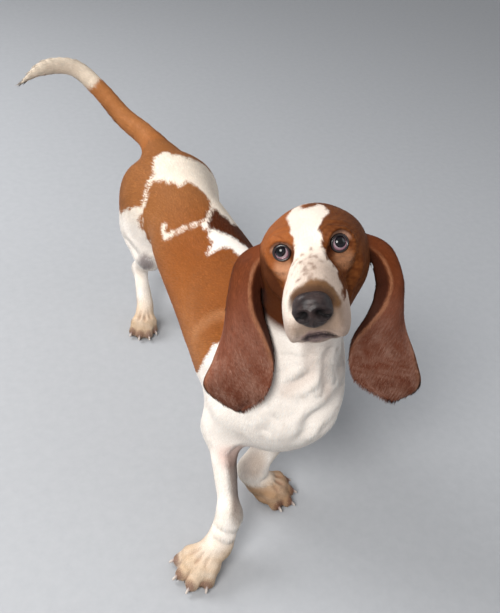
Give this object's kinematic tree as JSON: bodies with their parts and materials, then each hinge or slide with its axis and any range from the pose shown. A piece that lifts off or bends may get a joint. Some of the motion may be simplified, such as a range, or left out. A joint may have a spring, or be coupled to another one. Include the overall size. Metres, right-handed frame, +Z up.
{
  "type": "basset hound",
  "caption": "Life-size still model of a short-legged, long-eared hound standing with its head raised and turned.",
  "frame": {"origin": "centre of the bounding box in X and Y, on the floor", "axes": "+Y from the head to the tail along the body, +X to the hound's left, +Z up"},
  "size_m": [0.4647, 0.9308, 0.527],
  "materials": {
    "tan_coat": "short, close, golden tan hair",
    "white_coat": "short, close, white hair",
    "ear_coat": "very short, silky, red-brown hair",
    "nose_leather": "moist, pebbled, near-black skin",
    "claw_horn": "worn pale horn",
    "eye": "wet, smooth, dark brown"
  },
  "bodies": {
    "root": {"torso": "tan_coat", "neck": "white_coat", "foreleg_right": "white_coat", "foreleg_left": "white_coat", "hindleg_right": "white_coat", "hindleg_left": "white_coat", "forepaw_right": "white_coat", "forepaw_left": "white_coat", "hindpaw_right": "white_coat", "hindpaw_left": "white_coat", "head": "tan_coat", "eye_right": "eye", "eye_left": "eye", "nose": "nose_leather", "ear_right": "ear_coat", "ear_left": "ear_coat", "tail_base": "tan_coat", "tail_middle": "tan_coat", "tail_tip": "tan_coat", "claw_forepaw_right_1": "claw_horn", "claw_forepaw_right_2": "claw_horn", "claw_forepaw_right_3": "claw_horn", "claw_forepaw_right_4": "claw_horn", "claw_forepaw_left_1": "claw_horn", "claw_forepaw_left_2": "claw_horn", "claw_forepaw_left_3": "claw_horn", "claw_forepaw_left_4": "claw_horn", "claw_hindpaw_right_1": "claw_horn", "claw_hindpaw_right_2": "claw_horn", "claw_hindpaw_right_3": "claw_horn", "claw_hindpaw_right_4": "claw_horn", "claw_hindpaw_left_1": "claw_horn", "claw_hindpaw_left_2": "claw_horn", "claw_hindpaw_left_3": "claw_horn", "claw_hindpaw_left_4": "claw_horn"}
  },
  "joints": []
}
